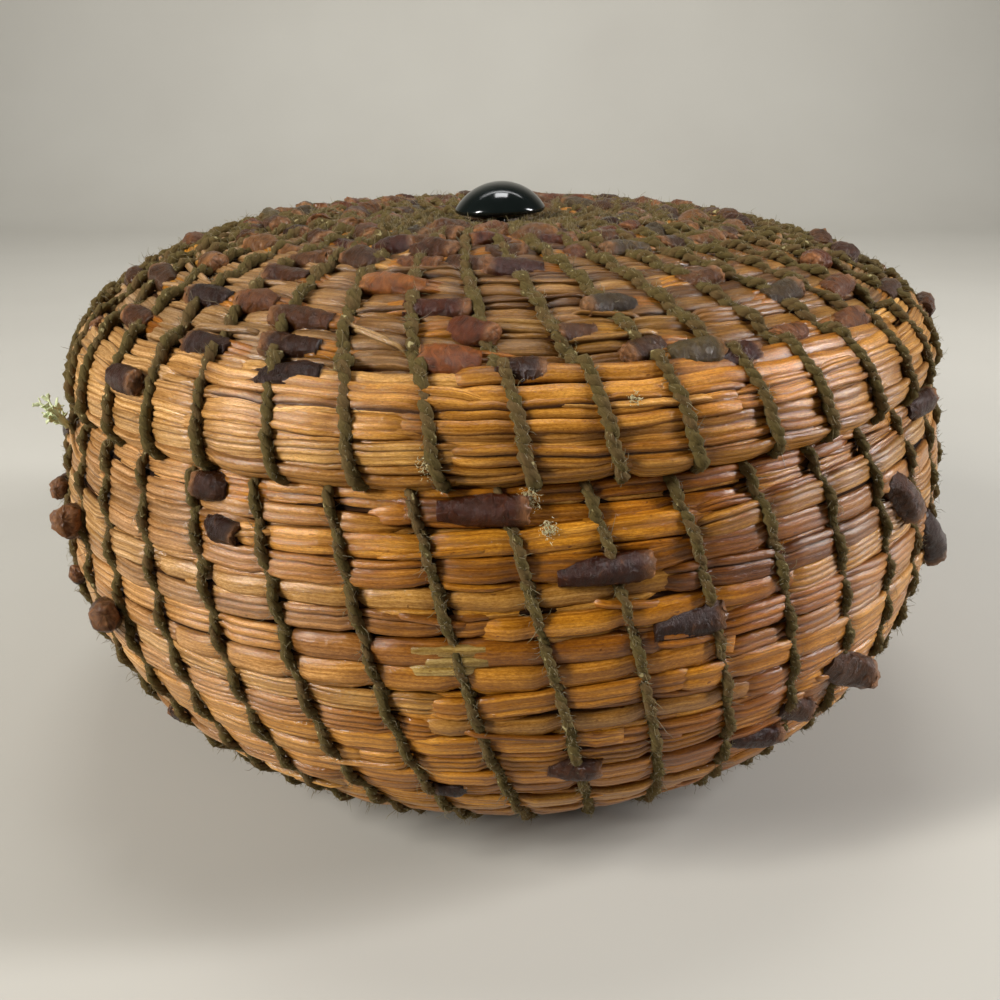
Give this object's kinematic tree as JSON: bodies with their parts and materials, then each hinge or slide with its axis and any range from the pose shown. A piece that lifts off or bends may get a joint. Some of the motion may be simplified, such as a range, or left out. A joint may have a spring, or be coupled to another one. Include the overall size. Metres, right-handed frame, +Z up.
{
  "type": "lidded coiled basket",
  "caption": "Round lidded basket coiled from long pine needles, bound with slanting lines of thread, with a button knob on a lift-off lid.",
  "frame": {"origin": "middle of the footprint, on the table", "axes": "+Z up along the axis of the basket, -Y towards the front"},
  "size_m": [0.1267, 0.1256, 0.0741],
  "materials": {
    "needles": "varnished pine needles, glossy",
    "thread": "two-ply spun thread, fuzzy, matte",
    "sheaths": "scaly needle sheaths under varnish",
    "button": "polished",
    "lichen": "dry, matte"
  },
  "bodies": {
    "base": {"base_coil": "needles", "floor_start": "thread", "wall_stitching": "thread", "wall_sheaths_front": "sheaths", "wall_sheaths_left": "sheaths", "wall_sheaths_right": "sheaths", "wall_sheaths_back": "sheaths", "lichen_sprig": "lichen"},
    "lid": {"lid_coil": "needles", "lid_rim": "needles", "locating_ring": "needles", "lid_stitching": "thread", "rim_stitching": "thread", "top_stitching": "thread", "slope_sheaths_front": "sheaths", "slope_sheaths_left": "sheaths", "slope_sheaths_right": "sheaths", "slope_sheaths_back": "sheaths", "top_sheaths_inner": "sheaths", "top_sheaths_middle": "sheaths", "top_sheaths_outer": "sheaths", "knob": "button", "knob_shank": "button", "knob_tie": "thread"}
  },
  "joints": [
    {"name": "lid_lift", "type": "slide", "parent": "base", "child": "lid", "axis": [0, 0, 1], "range_m": [0, 0.045]}
  ]
}
